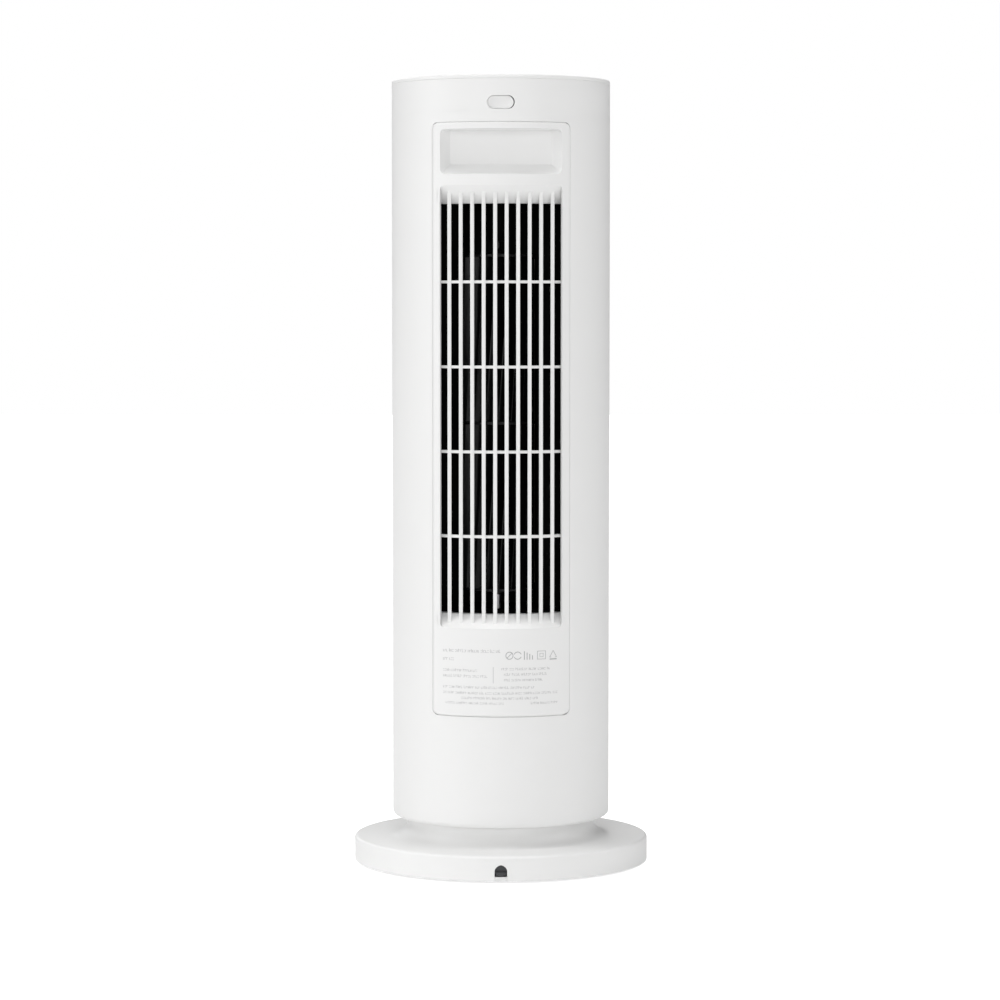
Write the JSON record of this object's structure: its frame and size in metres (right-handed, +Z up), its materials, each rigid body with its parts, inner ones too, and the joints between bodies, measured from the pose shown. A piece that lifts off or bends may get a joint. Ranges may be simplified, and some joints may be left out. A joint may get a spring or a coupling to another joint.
{
  "type": "ceramic tower space heater",
  "caption": "Round white tower fan heater that swings on a weighted disc base, with a slotted air inlet and a carrying recess at the back and a grille at the front.",
  "frame": {"origin": "middle of the base, on the surface that the rubber feet stand on", "axes": "+Z up along the tower, -Y out of the back with the air inlet and the carrying recess, +Y out of the front with the warm air outlet, +X to the right as seen from the back"},
  "size_m": [0.191, 0.191, 0.5065],
  "materials": {
    "white_shell": "satin moulded white plastic",
    "white_key": "satin moulded white plastic, keys and switch",
    "black_duct": "black heat-resistant plastic",
    "black_fan": "glossy black moulded impeller",
    "smoked_window": "smoked display window",
    "dark_rubber": "dark grey soft rubber",
    "steel": "bright zinc-plated steel",
    "iron": "cast ballast, painted dark grey",
    "acetal": "natural acetal, low friction",
    "ceramic": "aluminium fins on ceramic heating stones",
    "heat_frame": "dark heat-resistant frame",
    "circuit_board": "green circuit board",
    "wire": "black insulated wiring"
  },
  "bodies": {
    "base": {"base_cover": "white_shell", "base_plate": "black_duct", "ballast_plate": "iron", "cord_gland": "dark_rubber", "neck_collar": "white_shell", "slide_washer": "acetal", "swing_gear": "acetal", "hub_ring": "steel", "rubber_foot_1": "dark_rubber", "rubber_foot_2": "dark_rubber", "rubber_foot_3": "dark_rubber", "rubber_foot_4": "dark_rubber", "base_screw_1": "steel", "base_screw_2": "steel", "base_screw_3": "steel", "base_screw_4": "steel"},
    "tower": {"bottom_cover": "white_shell", "rear_shell": "white_shell", "front_shell": "white_shell", "rear_panel": "white_shell", "front_grille": "white_shell", "top_cover": "white_shell", "display_window": "smoked_window", "control_board": "circuit_board", "rocker_housing": "black_duct", "duct_floor": "black_duct", "duct_roof": "black_duct", "duct_volute": "black_duct", "duct_tongue": "black_duct", "heater_element": "ceramic", "heater_frame": "heat_frame", "thermal_cutout": "steel", "power_board": "circuit_board", "tilt_switch": "black_duct", "tower_harness": "wire", "tower_screw_1": "steel", "tower_screw_2": "steel", "tower_screw_3": "steel", "tower_screw_4": "steel", "air_sensor": "wire", "swing_motor": "steel", "swing_bracket": "steel", "fan_motor": "steel", "fan_bearing": "dark_rubber"},
    "swing_pinion": {"swing_pinion": "acetal"},
    "fan": {"impeller": "black_fan", "fan_shaft": "steel"},
    "mains_rocker": {"mains_rocker": "white_key"},
    "power_button": {"power_button": "white_key"},
    "mode_button": {"mode_button": "white_key"},
    "swing_button": {"swing_button": "white_key"}
  },
  "joints": [
    {"name": "tower_swing", "type": "hinge", "parent": "base", "child": "tower", "pos_m": [0, 0, 0.0308], "axis": [0, 0, 1], "range_deg": [-35, 35]},
    {"name": "pinion_spin", "type": "hinge", "parent": "tower", "child": "swing_pinion", "pos_m": [0, 0.03, 0.04], "axis": [0, 0, 1], "range_deg": [-85.5, 85.5]},
    {"name": "fan_spin", "type": "hinge", "parent": "tower", "child": "fan", "pos_m": [-0.002, -0.022, 0.28], "axis": [0, 0, 1], "continuous": true},
    {"name": "mains_rocker_tilt", "type": "hinge", "parent": "tower", "child": "mains_rocker", "pos_m": [0, -0.0647, 0.4892], "axis": [0, 0, 1], "range_deg": [0, 12]},
    {"name": "power_press", "type": "slide", "parent": "tower", "child": "power_button", "axis": [0, 0, -1], "range_m": [0, 0.001], "stiffness_N_per_m": 800},
    {"name": "mode_press", "type": "slide", "parent": "tower", "child": "mode_button", "axis": [0, 0, -1], "range_m": [0, 0.001], "stiffness_N_per_m": 800},
    {"name": "swing_press", "type": "slide", "parent": "tower", "child": "swing_button", "axis": [0, 0, -1], "range_m": [0, 0.001], "stiffness_N_per_m": 800}
  ],
  "couplings": [
    {"joint": "pinion_spin", "follows": "tower_swing", "ratio": 2.4286}
  ]
}
